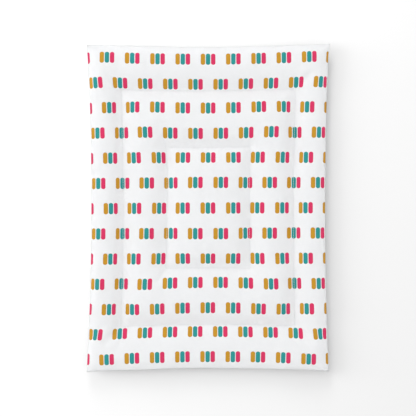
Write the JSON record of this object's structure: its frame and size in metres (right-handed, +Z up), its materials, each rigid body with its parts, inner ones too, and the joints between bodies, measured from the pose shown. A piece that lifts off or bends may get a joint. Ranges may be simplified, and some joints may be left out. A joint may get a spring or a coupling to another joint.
{
  "type": "changing pad",
  "caption": "Flat padded changing mat: printed top cover over wadding, quilted through in concentric rectangles, with waisted sides, soft pointed corners and a knife-edge seam.",
  "frame": {"origin": "on the supporting surface, under the middle of the mat", "axes": "+X across the width, +Y along the length towards the head end, +Z up out of the printed face"},
  "size_m": [0.5, 0.676, 0.027],
  "materials": {
    "printed_cotton": "matte white fine plain weave with a small repeating print in mustard, teal and pink",
    "plain_cotton": "matte white fine plain weave",
    "wadding": "lofty off-white polyester fibre",
    "quilt_thread": "white spun thread with a slight lustre",
    "seam_thread": "white spun thread",
    "label_satin": "blank white satin tape"
  },
  "bodies": {
    "root": {"top_cover": "printed_cotton", "base_cover": "plain_cotton", "centre_filling": "wadding", "middle_filling_right": "wadding", "middle_filling_back": "wadding", "middle_filling_left": "wadding", "middle_filling_front": "wadding", "border_filling_right": "wadding", "border_filling_back": "wadding", "border_filling_left": "wadding", "border_filling_front": "wadding", "inner_quilt_needle_thread": "quilt_thread", "inner_quilt_bobbin_thread": "quilt_thread", "outer_quilt_needle_thread": "quilt_thread", "outer_quilt_bobbin_thread": "quilt_thread", "edge_seam_thread": "seam_thread", "closing_seam_thread": "seam_thread", "care_label": "label_satin", "care_label_stitching": "seam_thread"}
  },
  "joints": []
}
